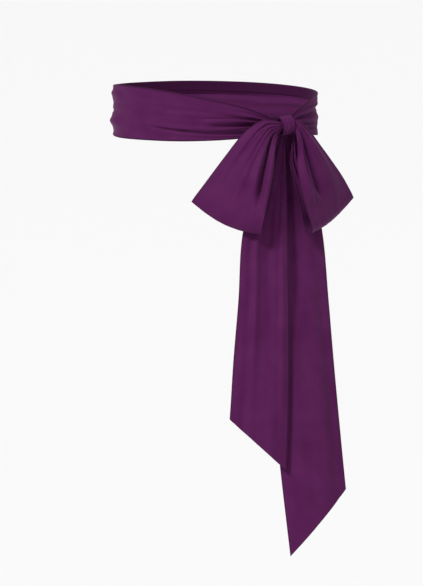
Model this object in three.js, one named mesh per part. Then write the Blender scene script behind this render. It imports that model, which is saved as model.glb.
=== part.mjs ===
// A chiffon sash tied round the waist in a drooping bow, in millimetres.
// +X is the wearer's left, -Y the front and +Z up. The origin is the middle of the waist loop.
// The sash is one long strip. Each stretch of it that shows is a piece of its own: the band round
// the waist, the knot's wrap, two bow loops and two hanging ends.
import * as THREE from "three";

// ---- driving sizes ----
const CLOTH_WALL = 1.2; // two layers of chiffon, sewn into a tube and pressed
const WAIST = { halfWidth: 130, halfDepth: 101 }; // the oval that the band lies on
const KNOT = {
  angle: 36.6, // degrees from the front, towards the wearer's left
  standoff: 20.5, // from the waist oval to the middle of the wrap
  height: -13, // of its middle
  length: 17, // of the wrap, along its axis
  halfHeight: 10.6,
  halfDepth: 8,
  roll: 10, // degrees that the axis climbs towards the wearer's left
};
const COLOUR = 0x54234e;

// ---- small helpers ----
const UP = new THREE.Vector3(0, 0, 1);
const radians = THREE.MathUtils.degToRad;
const fade = (t) => THREE.MathUtils.smoothstep(t, 0, 1);

// A direction across a strip: turn is about +Z from +X, slope is above the horizontal.
function direction(slope, turn) {
  const level = Math.cos(radians(slope));
  return new THREE.Vector3(
    level * Math.cos(radians(turn)),
    level * Math.sin(radians(turn)),
    Math.sin(radians(slope)),
  );
}

// The waist oval at an angle from the front: its point and its outward direction, both level.
function waistAt(angle) {
  const { halfWidth, halfDepth } = WAIST;
  const [sin, cos] = [Math.sin(radians(angle)), Math.cos(radians(angle))];
  const outward = new THREE.Vector3(sin / halfWidth, -cos / halfDepth, 0);
  return {
    point: new THREE.Vector3(halfWidth * sin, -halfDepth * cos, 0),
    outward: outward.normalize(),
  };
}

// The value of one column at a place along the rows, by a smooth curve through every row.
function interpolate(rows, column, at) {
  let i = 0;
  while (i < rows.length - 2 && rows[i + 1].at < at) i++;
  const slopeAt = (k) => {
    const [before, after] = [rows[Math.max(k - 1, 0)], rows[Math.min(k + 1, rows.length - 1)]];
    return (after[column] - before[column]) / (after.at - before.at);
  };
  const [start, end] = [rows[i], rows[i + 1]];
  const span = end.at - start.at;
  const t = (at - start.at) / span;
  const [t2, t3] = [t * t, t * t * t];
  return (
    (2 * t3 - 3 * t2 + 1) * start[column] +
    (t3 - 2 * t2 + t) * span * slopeAt(i) +
    (3 * t2 - 2 * t3) * end[column] +
    (t3 - t2) * span * slopeAt(i + 1)
  );
}

// Turns a list of column names and a list of rows into objects.
const table = (columns, ...rows) =>
  rows.map((row) => Object.fromEntries(columns.map((name, i) => [name, row[i]])));

// ---- the knot's own frame ----
const knot = (() => {
  const { point, outward } = waistAt(KNOT.angle);
  const centre = point.clone().addScaledVector(outward, KNOT.standoff).setZ(KNOT.height);
  const level = new THREE.Vector3().crossVectors(UP, outward);
  const axis = level.applyAxisAngle(outward, radians(KNOT.roll));
  const rise = new THREE.Vector3().crossVectors(outward, axis);
  return { centre, outward, axis, rise };
})();

// ---- cloth ----
// How far the cloth stands out from the plain sheet between its edges. swell is an arch across
// the strip, crimp is the height of its gathers, and folds are soft ridges (+) and troughs (-).
function relief(station, pleats, folds, at, w) {
  const arch = station.swell * (1 - (2 * w - 1) ** 2);
  const gathers = station.crimp * Math.cos(2 * Math.PI * pleats * w);
  const creases = folds.map(({ from, to, across, acrossEnd, reach, height }) => {
    const t = (at - from) / (to - from);
    if (t <= 0 || t >= 1) return 0;
    const middle = across + (acrossEnd - across) * t;
    return height * fade(4 * t) * fade(4 * (1 - t)) * Math.exp(-(((w - middle) / reach) ** 2));
  });
  return creases.reduce((sum, crease) => sum + crease, arch + gathers);
}

// How far the cloth hangs below its plain sheet near a bottom fold: most at its middle.
function hangBelow({ at: fold, reach, depth }, at, w) {
  return depth * Math.exp(-(((at - fold) / reach) ** 2)) * (1 - (2 * w - 1) ** 2);
}

// The direction out of a grid of points, which is along x across.
function outwardAt(grid, i, j, loops) {
  const rows = grid.length;
  const before = loops ? (i + rows - 1) % rows : Math.max(i - 1, 0);
  const after = loops ? (i + 1) % rows : Math.min(i + 1, rows - 1);
  const last = grid[0].length - 1;
  const along = grid[after][j].clone().sub(grid[before][j]);
  const across = grid[i][Math.min(j + 1, last)].clone().sub(grid[i][Math.max(j - 1, 0)]);
  return along.cross(across).normalize();
}

const shifted = (grid, loops, distance) =>
  grid.map((row, i) =>
    row.map((p, j) => p.clone().addScaledVector(outwardAt(grid, i, j, loops), distance(i, j))),
  );

// The middle surface of a strip: stationAt gives its section at a place along it, stops are the
// places, and endAt is where the strip ends on the line at share w of its width.
function clothGrid({ stationAt, stops, columns, endAt, loops = false, ...shape }) {
  const { pleats = 0, folds = [], sag } = shape;
  const total = stops[stops.length - 1];
  const places = stops.map((stop) =>
    Array.from({ length: columns + 1 }, (_, j) => {
      const w = j / columns;
      return { w, at: endAt ? (stop / total) * endAt(w) : stop };
    }),
  );
  const plain = places.map((row) =>
    row.map(({ w, at }) => {
      const { centre, across, width } = stationAt(at);
      const point = centre.clone().addScaledVector(across, (w - 0.5) * width);
      return sag ? point.addScaledVector(UP, -hangBelow(sag, at, w)) : point;
    }),
  );
  return shifted(plain, loops, (i, j) => {
    const { w, at } = places[i][j];
    return relief(stationAt(at), pleats, folds, at, w);
  });
}

// A closed wall of cloth round a middle surface. A strip that loops has no start or end rim.
function clothWall(grid, loops) {
  const sides = [CLOTH_WALL / 2, -CLOTH_WALL / 2].map((h) => shifted(grid, loops, () => h));
  const [rows, columns] = [grid.length, grid[0].length];
  const positions = sides.flat(2).flatMap((p) => [p.x, p.y, p.z]);
  const vertex = (side, i, j) => (side * rows + (i % rows)) * columns + j;
  const triangles = [];
  const quad = (a, b, c, d) => triangles.push(a, b, c, a, c, d);
  const lastRow = loops ? rows : rows - 1;
  for (let i = 0; i < lastRow; i++) {
    for (let j = 0; j < columns - 1; j++) {
      quad(vertex(0, i, j), vertex(0, i + 1, j), vertex(0, i + 1, j + 1), vertex(0, i, j + 1));
      quad(vertex(1, i, j), vertex(1, i, j + 1), vertex(1, i + 1, j + 1), vertex(1, i + 1, j));
    }
    const far = columns - 1;
    quad(vertex(0, i, 0), vertex(1, i, 0), vertex(1, i + 1, 0), vertex(0, i + 1, 0));
    quad(vertex(0, i, far), vertex(0, i + 1, far), vertex(1, i + 1, far), vertex(1, i, far));
  }
  for (let j = 0; !loops && j < columns - 1; j++) {
    const far = rows - 1;
    quad(vertex(0, 0, j), vertex(0, 0, j + 1), vertex(1, 0, j + 1), vertex(1, 0, j));
    quad(vertex(0, far, j), vertex(1, far, j), vertex(1, far, j + 1), vertex(0, far, j + 1));
  }
  return new THREE.BufferGeometry()
    .setAttribute("position", new THREE.Float32BufferAttribute(positions, 3))
    .setIndex(triangles);
}

// A strip whose sections are rows of a table, placed from the middle of the knot: right is +X,
// front -Y and down -Z. Its rows are numbered by their distance along the strip's middle.
function knotStrip({ sections, stepsPerRow, ...rest }) {
  const { centre } = knot;
  const rows = sections.map((row) => ({
    ...row,
    x: centre.x + row.right,
    y: centre.y - row.front,
    z: centre.z - row.down,
    at: 0,
  }));
  rows.slice(1).forEach((row, i) => {
    const before = rows[i];
    row.at = before.at + Math.hypot(row.x - before.x, row.y - before.y, row.z - before.z);
  });
  const stops = rows.slice(1).flatMap((row, i) => {
    const step = (row.at - rows[i].at) / stepsPerRow;
    return Array.from({ length: stepsPerRow }, (_, k) => rows[i].at + k * step);
  });
  stops.push(rows[rows.length - 1].at);
  const value = (column, at) => interpolate(rows, column, at);
  const stationAt = (at) => ({
    centre: new THREE.Vector3(value("x", at), value("y", at), value("z", at)),
    across: direction(value("slope", at), value("turn", at)),
    width: value("width", at),
    swell: value("swell", at),
    crimp: value("crimp", at),
  });
  return clothGrid({ stationAt, stops, ...rest });
}

const SECTION = ["right", "front", "down", "width", "slope", "turn", "swell", "crimp"];
const FOLD = ["from", "to", "across", "acrossEnd", "reach", "height"];

// ---- the pieces ----
// The band goes from the knot across the front, round the back and to the knot again. Its two ends
// cross behind the knot. angle is degrees from the knot, and its folds are placed by that too.
function waistBand() {
  const sections = table(
    ["at", "top", "bottom", "standoff", "crimp"],
    [-6, -4, -22, 1.7, 0.8],
    [5, -4.5, -23, 1.7, 0.8],
    [10, 0, -25, 1.5, 1.1],
    [17, 6, -27, 0.8, 1.2],
    [26, 11.5, -29.5, 0.2, 0.9],
    [41, 19, -31.5, 0, 0.4],
    [59, 26.5, -32.5, 0, 0.1],
    [80, 32, -32, 0, 0],
    [108, 34.5, -31, 0, 0],
    [126, 32.5, -29.5, 0, 0.3],
    [160, 33, -30, 0, 0.5],
    [200, 34, -31, 0, 0.5],
    [240, 32, -31, 0, 0.5],
    [280, 27, -30, 0, 0.4],
    [306, 23, -29.5, 0, 0.6],
    [325, 19, -28, 0, 0.8],
    [335, 11.5, -26, -0.2, 1],
    [343, 4.5, -24, -1, 1],
    [350, -3.5, -22, -1.7, 0.8],
    [366, -4, -22, -1.7, 0.8],
  );
  const folds = table(
    FOLD,
    [8, 78, 0.9, 0.74, 0.05, -2.6], // the long crease above the lower edge
    [6, 40, 0.55, 0.7, 0.1, -3.6], // the hollow beside the knot
    [10, 46, 0.36, 0.5, 0.05, -1.8],
    [96, 160, 0.7, 0.72, 0.11, 4], // two rolls at the wearer's right side
    [100, 150, 0.17, 0.14, 0.06, 2.6],
    [150, 250, 0.4, 0.62, 0.07, -2.4],
    [190, 320, 0.75, 0.6, 0.08, 2.6],
    [296, 352, 0.45, 0.4, 0.08, -2.6],
  );
  const stationAt = (at) => {
    const { point, outward } = waistAt(KNOT.angle - at);
    const value = (column) => interpolate(sections, column, at);
    return {
      centre: point
        .addScaledVector(outward, value("standoff"))
        .setZ((value("top") + value("bottom")) / 2),
      across: UP.clone().negate(),
      width: value("top") - value("bottom"),
      swell: 0,
      crimp: value("crimp"),
    };
  };
  const [first, last, steps] = [sections[0].at, sections[sections.length - 1].at, 50];
  const stops = Array.from({ length: steps + 1 }, (_, i) => first + ((last - first) * i) / steps);
  return clothWall(clothGrid({ stationAt, stops, columns: 10, pleats: 3, folds }));
}

// The wrap that holds the bow: a short tube of cloth round the gathered necks.
function knotWrap() {
  const { centre, outward, axis, rise } = knot;
  const steps = 28;
  const stops = Array.from({ length: steps }, (_, i) => (360 * i) / steps);
  const stationAt = (at) => ({
    centre: centre
      .clone()
      .addScaledVector(outward, KNOT.halfDepth * Math.sin(radians(at)))
      .addScaledVector(rise, KNOT.halfHeight * Math.cos(radians(at))),
    across: axis,
    width: KNOT.length,
    swell: 0.4,
    crimp: 0.35,
  });
  return clothWall(clothGrid({ stationAt, stops, columns: 8, pleats: 2, loops: true }), true);
}

// The loop on the wearer's right. It leaves the knot in front, turns at the bottom and comes back
// behind. w runs from its outer edge to its mouth.
function rightSideLoop() {
  const sections = table(
    SECTION,
    [0.6, 1.1, 0, 13, -84, 30, 2.2, 0.4],
    [-7.5, 5.8, 1, 12.5, -84, 30, 2.2, 0.4],
    [-11.5, 8, 2, 15.5, -78, 14, 2.6, 0.6],
    [-21, 12.5, 7, 32, -62, -12, 4, 1],
    [-33, 22, 27, 55, -49, -18, 5, 0.8],
    [-48, 30.5, 57.5, 71, -35, -18, 5, 0.4],
    [-63, 34.5, 89, 86, -27, -15, 3, 0],
    [-71.5, 35, 106, 93.5, -24, -12, 1, 0],
    [-74, 31.5, 113, 96.5, -24, -9, 0, 0],
    [-71, 27.5, 106, 93, -24.5, -7, 0.5, 0],
    [-62, 24.5, 89, 85, -26, -7.5, 1, 0],
    [-46.5, 19, 57, 70, -34, -8, 1.5, 0.4],
    [-32, 12.5, 26.5, 54, -47, -8, 2, 0.8],
    [-20.5, 7, 8, 32, -60, -2, 2.4, 0.8],
    [-12.5, 4.6, 2.4, 15.5, -78, 20, 2, 0.6],
    [-8.6, 3.2, 1.2, 12.5, -84, 30, 1.6, 0.4],
    [-0.8, -1.3, 0, 13, -84, 30, 1.6, 0.4],
  );
  const folds = table(
    FOLD,
    [12, 112, 0.7, 0.86, 0.07, -9], // the deep valley beside the mouth
    [10, 130, 0.92, 0.97, 0.05, 3.5],
    [24, 120, 0.42, 0.66, 0.1, -3],
    [175, 262, 0.6, 0.5, 0.12, -3],
  );
  const sag = { at: 146, reach: 40, depth: 9.5 };
  return clothWall(knotStrip({ sections, folds, sag, columns: 10, pleats: 2, stepsPerRow: 3 }));
}

// The loop on the wearer's left. w runs from its mouth to its outer edge.
function leftSideLoop() {
  const sections = table(
    SECTION,
    [1.3, 1, 0, 13, 96, 30, 2, 0.4],
    [8, -2.8, -1, 12.5, 94, 30, 2, 0.4],
    [12.5, -2.8, 0, 14.5, 88, 38, 2.4, 0.6],
    [18.5, 0.5, 11, 25, 64, 48, 3.6, 1],
    [25.5, 1, 33.5, 49, 37, 52, 5, 0.8],
    [36, -3.5, 58.5, 71, 29, 54, 5, 0.4],
    [49, -11, 86.5, 89, 27, 55, 3, 0],
    [58, -17.5, 107.5, 96.5, 24, 54, 1, 0],
    [58.5, -24, 114.5, 99, 23.5, 51, 0, 0],
    [54, -28, 108, 99, 23.5, 48, 0.5, 0],
    [46, -23.5, 88.5, 88.5, 27.5, 48, 1, 0],
    [33.5, -17.5, 59.5, 68, 28.5, 45, 1.5, 0.4],
    [21.5, -11.5, 34, 49, 34, 38, 2, 0.8],
    [14, -8, 12, 28, 60, 34, 2.4, 0.8],
    [10.8, -7.4, 0.6, 15, 86, 32, 2, 0.6],
    [6.8, -5.2, -1, 12.5, 94, 30, 1.6, 0.4],
    [0, -1.5, 0, 13, 96, 30, 1.6, 0.4],
  );
  const folds = table(
    FOLD,
    [14, 106, 0.52, 0.42, 0.1, -9], // the deep valley down the middle
    [12, 110, 0.16, 0.16, 0.08, 4],
    [30, 130, 0.8, 0.72, 0.1, 2.5],
    [175, 255, 0.5, 0.55, 0.12, -3],
  );
  const sag = { at: 140, reach: 40, depth: 6 };
  return clothWall(knotStrip({ sections, folds, sag, columns: 10, pleats: 2, stepsPerRow: 3 }));
}

// The front end, on the wearer's right. Its far edge rolls under where it lies on the other end.
function frontEnd() {
  const sections = table(
    SECTION,
    [-5.5, -9.5, -6, 15, 0, 30, 0, 0.4],
    [-5.5, -9.5, 9, 15, 0, 30, 0, 0.4],
    [-7.5, -6.5, 18, 17, 0, 28, 0, 0.7],
    [-11.5, -1.7, 30.5, 22, -1, 25, 0.5, 1.2],
    [-18.5, 8.5, 67.5, 39, -1, 19, 1, 1.6],
    [-26.5, 20.5, 135, 57, -1, 13, 2, 1.4],
    [-28.5, 35.5, 215, 63, -1, 11, 3, 1.2],
    [-31.5, 48.5, 288, 69, -1, 9, 4, 0.9],
    [-34, 60, 355, 72.5, -1, 8, 4, 0.6],
    [-37.5, 71, 418, 75, -1, 7, 4, 0.4],
  );
  const folds = table(
    FOLD,
    [40, 420, 0.86, 0.9, 0.07, 4],
    [60, 400, 0.6, 0.62, 0.15, -3],
  );
  const [shortEdge, longEdge] = [377, 440];
  const endAt = (w) => shortEdge + (longEdge - shortEdge) * w;
  return clothWall(knotStrip({ sections, folds, columns: 8, pleats: 2, stepsPerRow: 3, endAt }));
}

// The back end, on the wearer's left: it lies under the front end and hangs lower.
function backEnd() {
  const sections = table(
    SECTION,
    [-5.2, -15.4, -6, 22, 0, 30, 0, 0.4],
    [-2.7, -16.8, 9, 32, 0, 30, 0, 0.4],
    [-2, -15.4, 18, 40, 0, 30, 0, 0.8],
    [0, -13, 31, 48, -1, 30, 0, 1.2],
    [2, -10, 68.5, 70, -2, 28, 1, 1.4],
    [6, -1, 137, 90, -2, 25, 2, 1],
    [12.5, 11.5, 217, 90, -2.5, 23, 4, 0.6],
    [19, 23, 291, 88.5, -2.5, 22, 6, 0.3],
    [26.5, 35, 365, 86.5, -3, 21, 7, 0],
    [34.5, 47, 444, 85, -3, 20, 8, 0],
    [44, 60, 531, 83, -3.5, 19, 8, 0],
  );
  const folds = table(
    FOLD,
    [45, 260, 0.56, 0.5, 0.09, -4], // the trough beside the front end
    [60, 420, 0.78, 0.74, 0.12, 2],
  );
  const [shortEdge, longEdge] = [464, 548];
  const endAt = (w) => longEdge + (shortEdge - longEdge) * w;
  return clothWall(knotStrip({ sections, folds, columns: 8, pleats: 2, stepsPerRow: 3, endAt }));
}

// ---- the whole sash ----
const chiffon = new THREE.MeshStandardMaterial({
  color: COLOUR,
  roughness: 0.75,
  metalness: 0,
  side: THREE.DoubleSide,
});
const PIECES = {
  waist_band: waistBand,
  knot_wrap: knotWrap,
  bow_loop_right_side: rightSideLoop,
  bow_loop_left_side: leftSideLoop,
  front_end: frontEnd,
  back_end: backEnd,
};
const sash = new THREE.Group();
for (const [name, shape] of Object.entries(PIECES)) {
  const mesh = new THREE.Mesh(shape(), chiffon);
  mesh.name = name;
  sash.add(mesh);
}

export default sash;
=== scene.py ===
"""A plum chiffon sash tied round the waist in a drooping bow.

Each stretch of the sash is a thin closed sheet made from a table of sections. Tables are in
millimetres and degrees, in the frame of the CAD model, and meshes are in metres.
"""
import math
from collections import namedtuple

import bpy
import numpy as np
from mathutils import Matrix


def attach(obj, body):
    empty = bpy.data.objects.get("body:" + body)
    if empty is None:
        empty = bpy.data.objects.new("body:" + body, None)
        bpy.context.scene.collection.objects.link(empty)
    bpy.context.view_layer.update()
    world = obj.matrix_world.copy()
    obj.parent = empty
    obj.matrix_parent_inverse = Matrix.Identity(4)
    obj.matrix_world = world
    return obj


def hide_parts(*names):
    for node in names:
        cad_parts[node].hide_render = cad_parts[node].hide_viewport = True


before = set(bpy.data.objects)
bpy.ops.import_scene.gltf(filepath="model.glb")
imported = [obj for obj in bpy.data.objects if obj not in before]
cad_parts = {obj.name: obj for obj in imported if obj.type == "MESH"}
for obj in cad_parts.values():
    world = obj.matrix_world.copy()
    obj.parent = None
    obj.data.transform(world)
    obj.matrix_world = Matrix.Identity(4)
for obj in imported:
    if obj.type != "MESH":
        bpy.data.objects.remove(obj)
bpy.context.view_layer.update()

# ---- driving sizes, in millimetres and degrees ----
MM = 0.001
SASH_WIDTH = 100
CLOTH_WALL = 0.9
WAIST_HALF_WIDTH = 130
WAIST_HALF_DEPTH = 101
KNOT_ANGLE = 36.6
KNOT_STANDOFF = 20.5
KNOT_HEIGHT = -13
KNOT_LENGTH = 17
KNOT_HALF_HEIGHT = 10.6
KNOT_HALF_DEPTH = 8
KNOT_ROLL = 10
UP = np.array([0.0, 0.0, 1.0])

# A fold runs from start to end along a strip, and from across to across_end over its width.
# reach is how far it spreads to each side, as a share of the width. A trough's height is
# below zero.
Fold = namedtuple("Fold", "start end across across_end reach height")

# A lip is an edge turned under: how deep, and the radius of its bend.
Lip = namedtuple("Lip", "depth radius")
NO_LIP = Lip(0, 0)
BEND_STEPS = 6
LIP_STEPS = 8

# A sag is how far a bottom fold hangs below the plain sheet, at the middle of its width.
Sag = namedtuple("Sag", "at reach depth")

# Gathers are three waves across a strip, that drift a little along it.
Gather = namedtuple("Gather", "share count phase drift")
GATHERS = [
    Gather(share=0.5, count=1, phase=0, drift=1),
    Gather(share=0.3, count=1.63, phase=2.1, drift=-1.4),
    Gather(share=0.2, count=0.57, phase=4.4, drift=1),
]
GATHER_DRIFT = 0.5
GATHER_DRIFT_LENGTH = 38

# A slight ripple covers every sheet. Its lengths are for one radian of each wave.
RIPPLE_HEIGHT = 0.35
RIPPLE_SHORT = 23
RIPPLE_LONG = 61


# ---- curves and directions ----
def fade(t):
    t = np.clip(t, 0, 1)
    return t * t * (3 - 2 * t)


def unit(vectors):
    return vectors / np.linalg.norm(vectors, axis=-1, keepdims=True)


def table(columns, *rows):
    """Rows of numbers as a dictionary of columns."""
    values = np.array(rows, dtype=float)
    return {name: values[:, i] for i, name in enumerate(columns.split())}


def smooth_value(sections, column, at):
    """One column at places along the rows, by a smooth curve through every row."""
    x, y = sections["at"], sections[column]
    last = len(x) - 1
    ahead = np.minimum(np.arange(last + 1) + 1, last)
    behind = np.maximum(np.arange(last + 1) - 1, 0)
    slope = (y[ahead] - y[behind]) / (x[ahead] - x[behind])
    i = np.clip(np.searchsorted(x, at) - 1, 0, last - 1)
    span = x[i + 1] - x[i]
    t = (at - x[i]) / span
    t2, t3 = t * t, t * t * t
    return (
        (2 * t3 - 3 * t2 + 1) * y[i]
        + (t3 - 2 * t2 + t) * span * slope[i]
        + (3 * t2 - 2 * t3) * y[i + 1]
        + (t3 - t2) * span * slope[i + 1]
    )


def section_at(sections, at):
    """Every column at places along the rows."""
    return {name: smooth_value(sections, name, at) for name in sections if name != "at"}


def mm_per_degree(half_width, half_depth):
    """The length of one degree round an oval, as on a circle of its mean radius."""
    return math.radians(1) * (half_width + half_depth) / 2


def waist_at(angle):
    """The waist oval's points and level outward directions, at angles from the front."""
    sin, cos = np.sin(np.radians(angle)), np.cos(np.radians(angle))
    level = np.zeros_like(sin)
    point = np.stack([WAIST_HALF_WIDTH * sin, -WAIST_HALF_DEPTH * cos, level], axis=-1)
    outward = np.stack([sin / WAIST_HALF_WIDTH, -cos / WAIST_HALF_DEPTH, level], axis=-1)
    return point, unit(outward)


def knot_frame():
    """The knot's middle, its outward direction, and the axis and rise of its wrap."""
    point, outward = waist_at(np.float64(KNOT_ANGLE))
    centre = point + KNOT_STANDOFF * outward + KNOT_HEIGHT * UP
    level = np.cross(UP, outward)
    roll = math.radians(KNOT_ROLL)
    axis = math.cos(roll) * level + math.sin(roll) * np.cross(outward, level)
    return centre, outward, axis, np.cross(outward, axis)


# ---- cloth ----
def pleats(count, w, at):
    """Uneven gathers across a strip, between -1 and 1, that drift a little along it."""
    drift = GATHER_DRIFT * np.sin(at / GATHER_DRIFT_LENGTH)
    return sum(
        gather.share
        * np.cos(2 * np.pi * gather.count * count * w + gather.phase + gather.drift * drift)
        for gather in GATHERS
    )


def ripple(w, at):
    """A slight unevenness, none at the edges, from two waves that slant opposite ways."""
    short = np.sin(at / RIPPLE_SHORT + 5 * w)
    long = np.sin(at / RIPPLE_LONG - 3 * w + 1)
    return RIPPLE_HEIGHT * short * long * np.sin(np.pi * w)


def hang_below(sag, at, w):
    """How far the cloth hangs below its plain sheet near a bottom fold."""
    return sag.depth * np.exp(-(((at - sag.at) / sag.reach) ** 2)) * (1 - (2 * w - 1) ** 2)


def relief(station, count, folds, at, w):
    """How far the cloth stands out from the plain sheet between its edges."""
    out = station["swell"] * (1 - (2 * w - 1) ** 2)
    out = out + station["crimp"] * pleats(count, w, at)
    out = out + ripple(w, at)
    for fold in folds:
        t = (at - fold.start) / (fold.end - fold.start)
        middle = fold.across + (fold.across_end - fold.across) * t
        strength = fade(4 * t) * fade(4 * (1 - t))
        out = out + fold.height * strength * np.exp(-(((w - middle) / fold.reach) ** 2))
    return out


def along_directions(grid, loops):
    """Directions along a strip at each point of its grid."""
    if loops:
        return np.roll(grid, -1, axis=0) - np.roll(grid, 1, axis=0)
    return np.gradient(grid, axis=0)


def outward_directions(grid, loops):
    """Unit directions out of a grid of points: along the strip x across it."""
    return unit(np.cross(along_directions(grid, loops), np.gradient(grid, axis=1)))


def lip_steps(lip):
    """How far past its edge, along the cloth, each line of points on a lip lies."""
    if not lip.depth:
        return []
    bend = lip.radius * math.pi
    round_part = bend * np.linspace(0, 1, BEND_STEPS + 1)[1:]
    flat_part = bend + np.linspace(0, lip.depth, LIP_STEPS + 1)[1:]
    return [*round_part, *flat_part]


def across_places(columns, near_lip, far_lip):
    """Places across a strip: the share w of its width, and how far past an edge it is turned."""
    near = [(0.0, -past) for past in reversed(lip_steps(near_lip))]
    middle = [(w, 0.0) for w in np.linspace(0, 1, columns + 1)]
    far = [(1.0, past) for past in lip_steps(far_lip)]
    return np.array(near + middle + far).T


def turned_under(past, near_lip, far_lip):
    """Where points past an edge lie: how far beyond it, and how far behind the sheet."""
    beyond = np.zeros_like(past)
    behind = np.zeros_like(past)
    for side, lip in ((-1, near_lip), (1, far_lip)):
        if not lip.depth:
            continue
        turned = past * side > 0
        distance = np.abs(past[turned])
        angle = np.minimum(distance / lip.radius, math.pi)
        flat_part = np.maximum(distance - lip.radius * math.pi, 0)
        beyond[turned] = side * (lip.radius * np.sin(angle) - flat_part)
        behind[turned] = lip.radius * (1 - np.cos(angle))
    return beyond, behind


def cloth_grid(station_at, stops, columns, count=0, folds=(), end_at=None, loops=False,
               near_lip=NO_LIP, far_lip=NO_LIP, lip_share=None, sag=None):
    """The middle surface of a strip, and each point's place along and across it.

    end_at gives the strip's length at places across it, where its end is slanted. lip_share
    gives how much of a turned-under edge is left, at places along it.
    """
    w, past = across_places(columns, near_lip, far_lip)
    if end_at:
        at = (stops / stops[-1])[:, None] * end_at(w)[None, :]
    else:
        at = np.repeat(stops[:, None], len(w), 1)
    w = np.repeat(w[None, :], len(stops), 0)
    past = np.repeat(past[None, :], len(stops), 0)
    if lip_share:
        past = past * lip_share(at)
    beyond, behind = turned_under(past, near_lip, far_lip)
    station = station_at(at)
    centre, across = station["centre"], station["across"]
    from_middle = (w - 0.5) * station["width"]
    without_lips = centre + across * from_middle[..., None]
    plain = centre + across * (from_middle + beyond)[..., None]
    if sag:
        plain = plain - UP * hang_below(sag, at, w)[..., None]
    out = unit(np.cross(along_directions(without_lips, loops), across))
    height = relief(station, count, folds, at, w) - behind
    return plain + out * height[..., None], at, w * SASH_WIDTH + past


def cloth_piece(name, grid, at, v, loops=False):
    """A closed sheet round a middle surface, as a Blender object with real-size UVs."""
    out = outward_directions(grid, loops)
    skins = [grid + out * CLOTH_WALL / 2, grid - out * CLOTH_WALL / 2]
    rows, columns = grid.shape[:2]
    vertices = np.concatenate([skin.reshape(-1, 3) for skin in skins]) * MM
    index = np.arange(2 * rows * columns).reshape(2, rows, columns)
    if loops:
        index = np.concatenate([index, index[:, :1]], axis=1)
    front, back = index

    def quads(a, b, c, d):
        return np.stack([a, b, c, d], axis=-1).reshape(-1, 4)

    faces = [
        quads(front[:-1, :-1], front[1:, :-1], front[1:, 1:], front[:-1, 1:]),
        quads(back[:-1, :-1], back[:-1, 1:], back[1:, 1:], back[1:, :-1]),
        quads(front[:-1, 0], back[:-1, 0], back[1:, 0], front[1:, 0]),
        quads(front[:-1, -1], front[1:, -1], back[1:, -1], back[:-1, -1]),
    ]
    if not loops:
        faces.append(quads(front[0, :-1], front[0, 1:], back[0, 1:], back[0, :-1]))
        faces.append(quads(front[-1, :-1], back[-1, :-1], back[-1, 1:], front[-1, 1:]))
    faces = np.concatenate(faces)
    mesh = bpy.data.meshes.new(name)
    mesh.from_pydata(vertices.tolist(), [], faces.tolist())
    uv = np.stack([np.tile(at.reshape(-1), 2), np.tile(v.reshape(-1), 2)], axis=-1) * MM
    layer = mesh.uv_layers.new(name="cloth")
    layer.data.foreach_set("uv", uv[faces.reshape(-1)].reshape(-1).astype(np.float32))
    mesh.polygons.foreach_set("use_smooth", np.ones(len(faces), dtype=bool))
    mesh.update()
    piece = bpy.data.objects.new(name, mesh)
    bpy.context.collection.objects.link(piece)
    return piece


# right, front and down place a section's middle from the knot's, as seen from the front.
# slope is how steeply its width rises, and turn is how far it turns back from +X. swell and
# crimp are the heights of its crown and of its gathers.
SECTION = "right front down width slope turn swell crimp"


def knot_strip(sections, steps, **rest):
    """A strip whose sections are placed from the middle of the knot."""
    middle = knot_frame()[0]
    x = middle[0] + sections["right"]
    y = middle[1] - sections["front"]
    z = middle[2] - sections["down"]
    hops = np.sqrt(np.diff(x) ** 2 + np.diff(y) ** 2 + np.diff(z) ** 2)
    rows = dict(sections, x=x, y=y, z=z, at=np.concatenate([[0], np.cumsum(hops)]))

    def station_at(at):
        value = section_at(rows, at)
        slope, turn = np.radians(value["slope"]), np.radians(value["turn"])
        level = np.cos(slope)
        across = np.stack([level * np.cos(turn), level * np.sin(turn), np.sin(slope)], axis=-1)
        centre = np.stack([value["x"], value["y"], value["z"]], axis=-1)
        return dict(value, centre=centre, across=across)

    return cloth_grid(station_at, np.linspace(0, rows["at"][-1], steps + 1), **rest)


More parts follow.
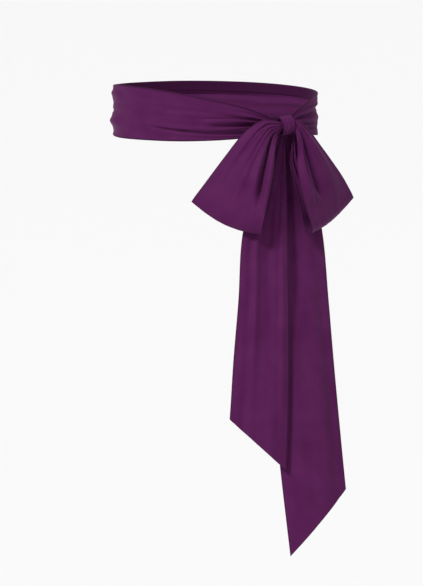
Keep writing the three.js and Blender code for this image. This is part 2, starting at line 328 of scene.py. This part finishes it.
# ---- the stretches of the sash ----
def waist_band():
    """Goes from the knot across the front, round the back and to the knot again.

    Places along it are in degrees round the waist.
    """
    sections = table(
        "at top bottom standoff crimp",
        [-6, -4, -22, 1.7, 0.6],
        [5, -4.5, -23, 1.7, 0.7],
        [10, 0, -25, 1.5, 1.4],
        [17, 6, -27, 0.8, 1.7],
        [26, 11.5, -29.5, 0.2, 1.5],
        [41, 19, -31.5, 0, 0.9],
        [59, 26.5, -32.5, 0, 0.5],
        [80, 32, -32, 0, 0.35],
        [108, 34.5, -31, 0, 0.5],
        [126, 32.5, -29.5, 0, 0.7],
        [160, 33, -30, 0, 0.8],
        [200, 34, -31, 0, 0.7],
        [240, 32, -31, 0, 0.7],
        [280, 27, -30, 0, 0.8],
        [306, 23, -29.5, 0, 1],
        [325, 19, -28, 0, 1.3],
        [335, 11.5, -26, -0.2, 1.5],
        [343, 4.5, -24, -1, 1.3],
        [350, -3.5, -22, -1.7, 0.7],
        [366, -4, -22, -1.7, 0.6],
    )
    folds = [
        Fold(8, 84, 0.9, 0.72, 0.025, -3),
        Fold(10, 80, 0.95, 0.8, 0.04, 1.2),
        Fold(6, 44, 0.55, 0.7, 0.1, -4.6),
        Fold(10, 48, 0.36, 0.5, 0.035, -1.6),
        Fold(12, 60, 0.28, 0.42, 0.05, 1.2),
        Fold(96, 160, 0.7, 0.72, 0.11, 4),
        Fold(98, 150, 0.5, 0.52, 0.04, -1.4),
        Fold(100, 150, 0.17, 0.14, 0.06, 2.6),
        Fold(150, 250, 0.4, 0.62, 0.05, -2.6),
        Fold(165, 262, 0.2, 0.3, 0.05, 1.6),
        Fold(190, 320, 0.75, 0.6, 0.07, 2.8),
        Fold(230, 330, 0.42, 0.3, 0.05, -1.8),
        Fold(296, 352, 0.45, 0.4, 0.06, -3),
        Fold(300, 350, 0.72, 0.66, 0.05, -2),
    ]

    def station_at(at):
        value = section_at(sections, at)
        point, outward = waist_at(KNOT_ANGLE - at)
        middle = (value["top"] + value["bottom"]) / 2
        centre = point + outward * value["standoff"][..., None] + UP * middle[..., None]
        across = np.broadcast_to(-UP, centre.shape)
        width = value["top"] - value["bottom"]
        return dict(centre=centre, across=across, width=width, swell=0, crimp=value["crimp"])

    stops = np.linspace(sections["at"][0], sections["at"][-1], 481)
    lip = Lip(depth=12, radius=0.6)
    grid, angle, v = cloth_grid(station_at, stops, columns=60, count=4, folds=folds,
                                near_lip=lip, far_lip=lip)
    return grid, angle * mm_per_degree(WAIST_HALF_WIDTH, WAIST_HALF_DEPTH), v


def knot_wrap():
    """The short tube of cloth round the gathered necks."""
    centre, outward, axis, rise = knot_frame()

    def station_at(at):
        around = np.radians(at)[..., None]
        oval = KNOT_HALF_DEPTH * np.sin(around) * outward + KNOT_HALF_HEIGHT * np.cos(around) * rise
        return dict(centre=centre + oval, across=np.broadcast_to(axis, oval.shape),
                    width=KNOT_LENGTH, swell=0.5, crimp=0.55)

    stops = np.linspace(0, 360, 181)[:-1]
    grid, angle, v = cloth_grid(station_at, stops, columns=60, count=4, loops=True)
    return grid, angle * mm_per_degree(KNOT_HALF_HEIGHT, KNOT_HALF_DEPTH), v


def right_side_loop():
    """The loop on the wearer's right. w runs from its outer edge to its mouth."""
    sections = table(
        SECTION,
        [0.6, 1.1, 0, 13, -84, 30, 2.2, 0.5],
        [-7.5, 5.8, 1, 12.5, -84, 30, 2.2, 0.6],
        [-11.5, 8, 2, 15.5, -78, 14, 2.6, 1.2],
        [-21, 12.5, 7, 32, -62, -12, 4, 2],
        [-33, 22, 27, 55, -49, -18, 5, 1],
        [-48, 30.5, 57.5, 71, -35, -18, 5, 0.4],
        [-63, 34.5, 89, 86, -27, -15, 3, 0.2],
        [-71.5, 35, 106, 93.5, -24, -12, 1, 0.1],
        [-74, 31.5, 113, 96.5, -24, -9, 0, 0.1],
        [-71, 27.5, 106, 93, -24.5, -7, 0.5, 0.2],
        [-62, 24.5, 89, 85, -26, -7.5, 1, 0.5],
        [-46.5, 19, 57, 70, -34, -8, 1.5, 1.6],
        [-32, 12.5, 26.5, 54, -47, -8, 2, 2.4],
        [-20.5, 7, 8, 32, -60, -2, 2.4, 2.1],
        [-12.5, 4.6, 2.4, 15.5, -78, 20, 2, 1.2],
        [-8.6, 3.2, 1.2, 12.5, -84, 30, 1.6, 0.5],
        [-0.8, -1.3, 0, 13, -84, 30, 1.6, 0.4],
    )
    folds = [
        Fold(12, 118, 0.7, 0.85, 0.06, -11),
        Fold(10, 130, 0.92, 0.97, 0.045, 3.5),
        Fold(24, 120, 0.42, 0.66, 0.1, -3),
        Fold(18, 90, 0.2, 0.16, 0.07, 1.6),
        Fold(26, 76, 0.34, 0.28, 0.05, -1.8),
        Fold(175, 262, 0.6, 0.5, 0.12, -3),
        Fold(190, 270, 0.25, 0.32, 0.07, 2),
    ]
    return knot_strip(sections, steps=260, columns=84, count=6, folds=folds,
                      sag=Sag(at=146, reach=40, depth=9.5))


def left_side_loop():
    """The loop on the wearer's left. w runs from its mouth to its outer edge."""
    sections = table(
        SECTION,
        [1.3, 1, 0, 13, 96, 30, 2, 0.5],
        [8, -2.8, -1, 12.5, 94, 30, 2, 0.6],
        [12.5, -2.8, 0, 14.5, 88, 38, 2.4, 1],
        [18.5, 0.5, 11, 25, 64, 48, 3.6, 2],
        [25.5, 1, 33.5, 49, 37, 52, 5, 1.3],
        [36, -3.5, 58.5, 71, 29, 54, 5, 0.6],
        [49, -11, 86.5, 89, 27, 55, 3, 0.3],
        [58, -17.5, 107.5, 96.4, 24, 54, 1, 0.2],
        [58.5, -24, 114.5, 99, 23.5, 51, 0, 0.1],
        [54, -28, 108, 99, 23.5, 48, 0.5, 0.2],
        [46, -23.5, 88.5, 88.5, 27.5, 48, 1, 0.5],
        [33.5, -17.5, 59.5, 68, 28.5, 45, 1.5, 1.6],
        [21.5, -11.5, 34, 49, 34, 38, 2, 2],
        [14, -8, 12, 28, 60, 34, 2.4, 2],
        [10.8, -7.4, 0.6, 15, 86, 32, 2, 0.8],
        [6.8, -5.2, -1, 12.5, 94, 30, 1.6, 0.5],
        [0, -1.5, 0, 13, 96, 30, 1.6, 0.4],
    )
    folds = [
        Fold(14, 112, 0.5, 0.42, 0.085, -11),
        Fold(12, 110, 0.16, 0.16, 0.07, 4),
        Fold(30, 130, 0.8, 0.72, 0.1, 2.5),
        Fold(22, 84, 0.68, 0.62, 0.05, -1.6),
        Fold(175, 255, 0.5, 0.55, 0.12, -3),
        Fold(190, 265, 0.76, 0.7, 0.07, 1.8),
    ]
    return knot_strip(sections, steps=260, columns=84, count=6, folds=folds,
                      sag=Sag(at=140, reach=40, depth=6))


def front_end():
    """The front end, on the wearer's right. Its far edge is turned under, less near the tip."""
    sections = table(
        SECTION,
        [-5.5, -9.5, -6, 15, 0, 30, 0, 0.4],
        [-5.5, -9.5, 9, 15, 0, 30, 0, 0.4],
        [-7.5, -6.5, 18, 17, 0, 28, 0, 0.9],
        [-11.5, -1.7, 30.5, 22, -1, 25, 0.5, 1.6],
        [-18.5, 8.5, 67.5, 39, -1, 19, 1, 2],
        [-26.5, 20.5, 135, 57, -1, 13, 2, 1.5],
        [-28.5, 35.5, 215, 63, -1, 11, 3, 1.1],
        [-31.5, 48.5, 288, 69, -1, 9, 4, 0.8],
        [-34, 60, 355, 72.5, -1, 8, 4, 0.6],
        [-37.5, 71, 418, 75, -1, 7, 4, 0.5],
    )
    folds = [
        Fold(40, 420, 0.86, 0.9, 0.06, 3.6),
        Fold(60, 400, 0.6, 0.62, 0.14, -3),
        Fold(90, 330, 0.3, 0.36, 0.06, 1.5),
        Fold(200, 440, 0.2, 0.26, 0.08, -1.4),
    ]
    short_edge, long_edge = 377, 440
    taper_start, taper_length, taper = 330, 90, 0.9
    return knot_strip(sections, steps=300, columns=64, count=3, folds=folds,
                      far_lip=Lip(depth=18, radius=1.2),
                      lip_share=lambda at: 1 - taper * fade((at - taper_start) / taper_length),
                      end_at=lambda w: short_edge + (long_edge - short_edge) * w)


def back_end():
    """The back end, on the wearer's left: it lies under the front end and hangs lower."""
    sections = table(
        SECTION,
        [-5.2, -15.4, -6, 22, 0, 30, 0, 0.4],
        [-2.7, -16.8, 9, 32, 0, 30, 0, 0.4],
        [-2, -15.4, 18, 40, 0, 30, 0, 0.9],
        [0, -13, 31, 48, -1, 30, 0, 1.4],
        [2, -10, 68.5, 70, -2, 28, 1, 1.5],
        [6, -1, 137, 90, -2, 25, 2, 1],
        [12.5, 11.5, 217, 90, -2.5, 23, 4, 0.7],
        [19, 23, 291, 88.5, -2.5, 22, 6, 0.5],
        [26.5, 35, 365, 86.5, -3, 21, 7, 0.3],
        [34.5, 47, 444, 85, -3, 20, 8, 0.3],
        [44, 60, 531, 83, -3.5, 19, 8, 0.3],
    )
    folds = [
        Fold(45, 260, 0.56, 0.5, 0.08, -4),
        Fold(60, 420, 0.78, 0.74, 0.1, 2),
        Fold(160, 520, 0.88, 0.84, 0.06, -1.4),
    ]
    short_edge, long_edge = 464, 548
    return knot_strip(sections, steps=320, columns=80, count=3, folds=folds,
                      end_at=lambda w: long_edge + (short_edge - long_edge) * w)


# ---- the chiffon ----
DEEP_DYE = (0.064, 0.0064, 0.055, 1)
PALE_DYE = (0.08, 0.0105, 0.069, 1)
# A darker colour for a thin band along every edge of the sash.
EDGE_DARK_COLOUR = (0.036, 0.003, 0.031, 1)
SHEEN_TINT = (0.9, 0.42, 0.85, 1)
EDGE_BAND = 0.0022
THREADS_PER_METRE = 2600
CREPE_DEPTH = 0.0001


def chiffon_material():
    """Matte plum cloth: a fine plain weave, uneven dye, a soft sheen and darker edges."""
    material = bpy.data.materials.new("plum_chiffon")
    material.use_nodes = True
    nodes, links = material.node_tree.nodes, material.node_tree.links
    shader = nodes["Principled BSDF"]
    shader.inputs["Roughness"].default_value = 0.72
    shader.inputs["Specular IOR Level"].default_value = 0.08
    shader.inputs["Sheen Weight"].default_value = 0.12
    shader.inputs["Sheen Roughness"].default_value = 0.45
    shader.inputs["Sheen Tint"].default_value = SHEEN_TINT

    def add(kind, **settings):
        node = nodes.new(kind)
        for key, value in settings.items():
            setattr(node, key, value)
        return node

    def maths(operation, first, second=0):
        node = add("ShaderNodeMath", operation=operation)
        for socket, value in zip(node.inputs, (first, second)):
            if isinstance(value, bpy.types.NodeSocket):
                links.new(value, socket)
            else:
                socket.default_value = value
        return node.outputs[0]

    place = add("ShaderNodeTexCoord").outputs["UV"]
    split = add("ShaderNodeSeparateXYZ")
    links.new(place, split.inputs[0])
    along, across = split.outputs["X"], split.outputs["Y"]

    # Distance in from the nearer edge, as a share of the edge band's width. A lip has none.
    half_width = SASH_WIDTH * MM / 2
    from_middle = maths("ABSOLUTE", maths("SUBTRACT", across, half_width))
    inside = maths("DIVIDE", maths("SUBTRACT", half_width, from_middle), EDGE_BAND)
    edge = add("ShaderNodeMapRange", interpolation_type="SMOOTHSTEP")
    links.new(inside, edge.inputs["Value"])

    patches = add("ShaderNodeTexNoise")
    patches.inputs["Scale"].default_value = 28
    patches.inputs["Detail"].default_value = 3
    links.new(place, patches.inputs["Vector"])
    dye = add("ShaderNodeValToRGB")
    for stop, position, dye_colour in zip(dye.color_ramp.elements, (0.3, 0.7), (DEEP_DYE, PALE_DYE)):
        stop.position = position
        stop.color = dye_colour
    links.new(patches.outputs["Fac"], dye.inputs["Fac"])
    colour = add("ShaderNodeMix", data_type="RGBA")
    # A Mix node's sockets for colours have the same names as its others, so they go by number.
    share, at_edge, inside_edge = colour.inputs[0], colour.inputs[6], colour.inputs[7]
    at_edge.default_value = EDGE_DARK_COLOUR
    links.new(edge.outputs["Result"], share)
    links.new(dye.outputs["Color"], inside_edge)
    links.new(colour.outputs[2], shader.inputs["Base Color"])

    warp = maths("SINE", maths("MULTIPLY", along, THREADS_PER_METRE * math.pi))
    weft = maths("SINE", maths("MULTIPLY", across, THREADS_PER_METRE * math.pi))
    weave = maths("MULTIPLY", warp, weft)
    crepe = add("ShaderNodeTexNoise")
    crepe.inputs["Scale"].default_value = 900
    links.new(place, crepe.inputs["Vector"])
    height = maths("ADD", maths("MULTIPLY", weave, 0.35), crepe.outputs["Fac"])
    bump = add("ShaderNodeBump")
    bump.inputs["Strength"].default_value = 0.25
    bump.inputs["Distance"].default_value = CREPE_DEPTH
    links.new(height, bump.inputs["Height"])
    links.new(bump.outputs["Normal"], shader.inputs["Normal"])
    return material


# ---- the sash ----
# flat is the cut of the stretch, in metres, and area is for a slanted cut.
Stretch = namedtuple("Stretch", "piece node shape flat area held loops")
STRETCHES = [
    Stretch("cloth_band", "waist_band", waist_band, (0.1, 0.75), None, "folded", False),
    Stretch("cloth_knot", "knot_wrap", knot_wrap, (0.025, 0.062), None, "gathered", True),
    Stretch("cloth_right_loop", "bow_loop_right_side", right_side_loop,
            (0.1, 0.293), None, "gathered", False),
    Stretch("cloth_left_loop", "bow_loop_left_side", left_side_loop,
            (0.1, 0.281), None, "gathered", False),
    Stretch("cloth_front_end", "front_end", front_end, (0.1, 0.44), 0.0409, "hung", False),
    Stretch("cloth_back_end", "back_end", back_end, (0.1, 0.548), 0.0506, "hung", False),
]
chiffon = chiffon_material()
for stretch in STRETCHES:
    grid, at, v = stretch.shape()
    piece = cloth_piece(stretch.piece, grid, at, v, stretch.loops)
    piece.data.materials.append(chiffon)
    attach(piece, "root")
    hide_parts(stretch.node)


# ---- floor, light and camera, in metres and degrees ----
FLOOR_SIZE = 400
FLOOR_HEIGHT = -1.05
CAMERA_PLACE = (-0.005, -4.088, 0.196)
CAMERA_TILT = 84
CAMERA_LENS = 196.6
CAMERA_SENSOR = 36


def pale_floor():
    bpy.ops.mesh.primitive_plane_add(size=FLOOR_SIZE, location=(0, 0, FLOOR_HEIGHT))
    floor = bpy.context.object
    floor.name = "floor"
    material = bpy.data.materials.new("pale_floor")
    material.use_nodes = True
    shader = material.node_tree.nodes["Principled BSDF"]
    shader.inputs["Base Color"].default_value = (0.93, 0.93, 0.93, 1)
    shader.inputs["Roughness"].default_value = 0.9
    floor.data.materials.append(material)


def soft_light(name, strength, spread, elevation, azimuth):
    """A broad soft light. Azimuth is from the front, towards the wearer's left."""
    light = bpy.data.lights.new(name, "SUN")
    light.energy = strength
    light.angle = math.radians(spread)
    lamp = bpy.data.objects.new(name, light)
    lamp.rotation_euler = (math.radians(90 - elevation), 0, math.radians(azimuth))
    bpy.context.collection.objects.link(lamp)


def studio():
    scene = bpy.context.scene
    scene.view_settings.view_transform = "Standard"
    world = bpy.data.worlds.new("studio")
    world.use_nodes = True
    background = world.node_tree.nodes["Background"]
    background.inputs["Color"].default_value = (1, 1, 1, 1)
    background.inputs["Strength"].default_value = 0.4
    scene.world = world
    soft_light("key", strength=2.75, spread=14, elevation=44, azimuth=-36)
    soft_light("fill", strength=0.3, spread=60, elevation=25, azimuth=50)
    pale_floor()
    camera = bpy.data.cameras.new("camera")
    camera.sensor_width = CAMERA_SENSOR
    camera.lens = CAMERA_LENS
    view = bpy.data.objects.new("camera", camera)
    view.location = CAMERA_PLACE
    view.rotation_euler = (math.radians(CAMERA_TILT), 0, 0)
    bpy.context.collection.objects.link(view)
    scene.camera = view


studio()
